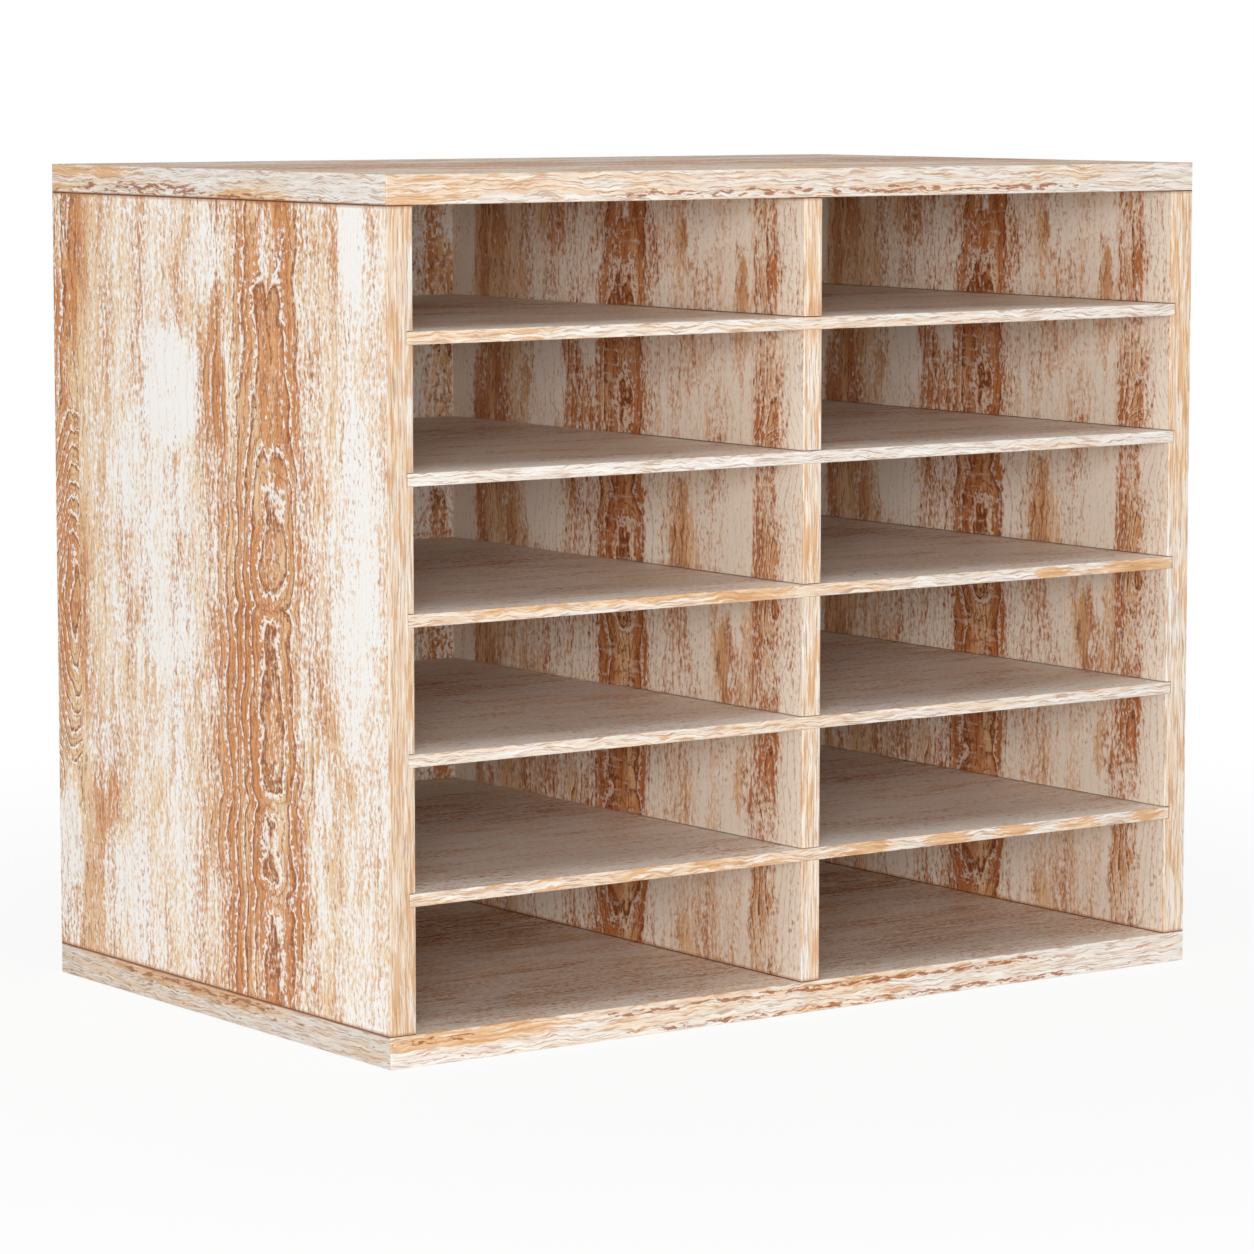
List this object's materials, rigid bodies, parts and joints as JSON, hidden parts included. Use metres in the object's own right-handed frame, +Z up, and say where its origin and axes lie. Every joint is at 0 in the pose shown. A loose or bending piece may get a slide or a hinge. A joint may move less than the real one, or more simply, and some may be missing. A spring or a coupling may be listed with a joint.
{
  "type": "mail sorter",
  "caption": "Open-front desktop mail sorter in a whitewashed distressed wood finish, with flat letter-size bays either side of a divider and full-width slide-out shelves.",
  "frame": {"origin": "centre of the underside, on the surface that the sorter stands on", "axes": "+X to the sorter's right as seen from the front, +Y towards its back, +Z up; the open front faces -Y"},
  "size_m": [0.4826, 0.3048, 0.4064],
  "materials": {
    "whitewashed_board": "satin printed laminate on fibreboard, whitewashed and distressed wood figure, raw brown core where cut",
    "edge_tape": "matte printed edge band, cream with tan streaks along each edge",
    "back_board": "thin hardboard, whitewashed print inside, raw brown outside",
    "beech": "raw turned beech",
    "zinc_plated_steel": "bright zinc plate"
  },
  "bodies": {
    "carcass": {"top_panel": "whitewashed_board", "base_panel": "whitewashed_board", "left_side_panel": "whitewashed_board", "right_side_panel": "whitewashed_board", "center_divider": "whitewashed_board", "back_panel": "back_board", "top_front_tape": "edge_tape", "base_front_tape": "edge_tape", "left_side_front_tape": "edge_tape", "right_side_front_tape": "edge_tape", "divider_front_tape": "edge_tape", "top_left_tape": "edge_tape", "top_right_tape": "edge_tape", "base_left_tape": "edge_tape", "base_right_tape": "edge_tape", "top_dowels": "beech", "base_dowels": "beech", "base_screws": "zinc_plated_steel", "back_pins": "zinc_plated_steel"},
    "shelf_1": {"shelf_1": "whitewashed_board", "shelf_1_tape": "edge_tape"},
    "shelf_2": {"shelf_2": "whitewashed_board", "shelf_2_tape": "edge_tape"},
    "shelf_3": {"shelf_3": "whitewashed_board", "shelf_3_tape": "edge_tape"},
    "shelf_4": {"shelf_4": "whitewashed_board", "shelf_4_tape": "edge_tape"},
    "shelf_5": {"shelf_5": "whitewashed_board", "shelf_5_tape": "edge_tape"}
  },
  "joints": [
    {"name": "shelf_1_slide", "type": "slide", "parent": "carcass", "child": "shelf_1", "axis": [0, -1, 0], "range_m": [0, 0.28]},
    {"name": "shelf_2_slide", "type": "slide", "parent": "carcass", "child": "shelf_2", "axis": [0, -1, 0], "range_m": [0, 0.28]},
    {"name": "shelf_3_slide", "type": "slide", "parent": "carcass", "child": "shelf_3", "axis": [0, -1, 0], "range_m": [0, 0.28]},
    {"name": "shelf_4_slide", "type": "slide", "parent": "carcass", "child": "shelf_4", "axis": [0, -1, 0], "range_m": [0, 0.28]},
    {"name": "shelf_5_slide", "type": "slide", "parent": "carcass", "child": "shelf_5", "axis": [0, -1, 0], "range_m": [0, 0.28]}
  ]
}
